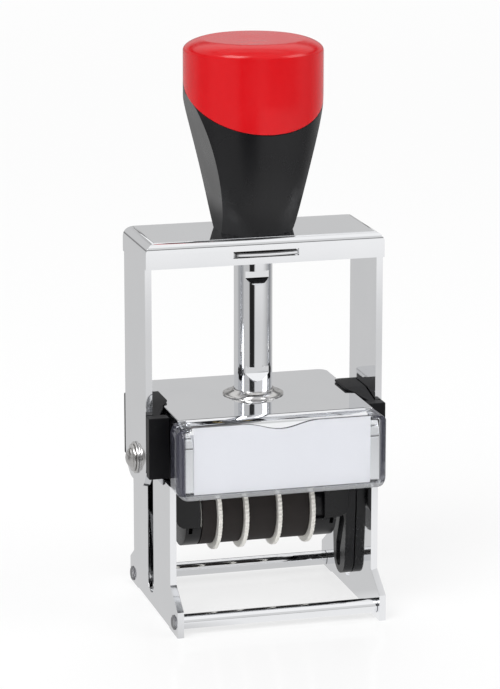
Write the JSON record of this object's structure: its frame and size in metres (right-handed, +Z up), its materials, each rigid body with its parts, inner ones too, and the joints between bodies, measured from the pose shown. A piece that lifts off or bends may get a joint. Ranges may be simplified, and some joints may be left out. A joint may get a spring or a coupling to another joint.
{
  "type": "self-inking date stamp",
  "caption": "Self-inking date stamp: a knob on a yoke slides down a centre post and turns a dater with setting wheels over from its ink pad to the paper.",
  "frame": {"origin": "middle of the bounding box's underside, on the table", "axes": "+Z up along the post, -Y the front with the index window, +X the right"},
  "size_m": [0.0706, 0.0548, 0.1533],
  "materials": {
    "chrome": "mirror",
    "black_plastic": "satin",
    "red_plastic": "gloss",
    "clear_plastic": "clear",
    "card": "matte",
    "white_plastic": "satin",
    "band_rubber": "matte",
    "die_rubber": "matte",
    "felt": "matte",
    "brass": "satin",
    "spring_steel": "satin",
    "die_metal": "satin"
  },
  "bodies": {
    "base": {"left_side_plate": "chrome", "right_side_plate": "chrome", "front_tie_rod": "chrome", "rear_tie_rod": "chrome", "flip_pins": "chrome", "pad_housing": "chrome", "housing_liner": "black_plastic", "housing_rivets": "chrome", "index_window": "clear_plastic", "index_card": "card", "left_leg_guide": "black_plastic", "right_leg_guide": "black_plastic", "guide_post": "chrome", "post_collar": "chrome", "return_spring": "spring_steel"},
    "pad": {"ink_pad_tray": "black_plastic", "ink_pad": "felt"},
    "slider": {"yoke": "chrome", "post_bush": "brass", "knob_body": "black_plastic", "knob_cap": "red_plastic", "knob_screws": "spring_steel", "left_pivot": "chrome", "right_pivot": "chrome", "pivot_washers": "chrome", "slide_bushes": "white_plastic"},
    "lock": {"lock_slide": "chrome"},
    "carrier": {"carrier_frame": "black_plastic", "left_flip_arm": "black_plastic", "right_flip_arm": "black_plastic", "die_plate": "die_metal", "text_die": "die_rubber", "band_bridge": "black_plastic", "left_end_block": "black_plastic", "right_end_block": "black_plastic", "drum_axle": "chrome", "day_tens_band": "band_rubber", "day_units_band": "band_rubber", "month_band": "band_rubber", "year_band": "band_rubber"},
    "day_tens": {"day_tens_wheel": "white_plastic"},
    "day_units": {"day_units_wheel": "white_plastic"},
    "month": {"month_wheel": "white_plastic"},
    "year": {"year_wheel": "white_plastic"}
  },
  "joints": [
    {"name": "press", "type": "slide", "parent": "base", "child": "slider", "axis": [0, 0, -1], "range_m": [0, 0.0335], "stiffness_N_per_m": 400, "springref_m": -0.02, "deforming": ["return_spring"]},
    {"name": "flip", "type": "hinge", "parent": "slider", "child": "carrier", "pos_m": [0, 0.0032, 0.0417], "axis": [1, 0, 0], "range_deg": [0, 180]},
    {"name": "lock_push", "type": "slide", "parent": "slider", "child": "lock", "axis": [0, 1, 0], "range_m": [0, 0.00125]},
    {"name": "pad_slide", "type": "slide", "parent": "base", "child": "pad", "axis": [0, 1, 0], "range_m": [0, 0.045]},
    {"name": "day_tens_turn", "type": "hinge", "parent": "carrier", "child": "day_tens", "pos_m": [-0.0119, 0.0032, 0.0258], "axis": [1, 0, 0], "continuous": true},
    {"name": "day_units_turn", "type": "hinge", "parent": "carrier", "child": "day_units", "pos_m": [-0.0045, 0.0032, 0.0258], "axis": [1, 0, 0], "continuous": true},
    {"name": "month_turn", "type": "hinge", "parent": "carrier", "child": "month", "pos_m": [0.0047, 0.0032, 0.0258], "axis": [1, 0, 0], "continuous": true},
    {"name": "year_turn", "type": "hinge", "parent": "carrier", "child": "year", "pos_m": [0.014, 0.0032, 0.0258], "axis": [1, 0, 0], "continuous": true}
  ],
  "couplings": [
    {"joint": "flip", "follows": "press", "rad_per_m": 93.779}
  ]
}
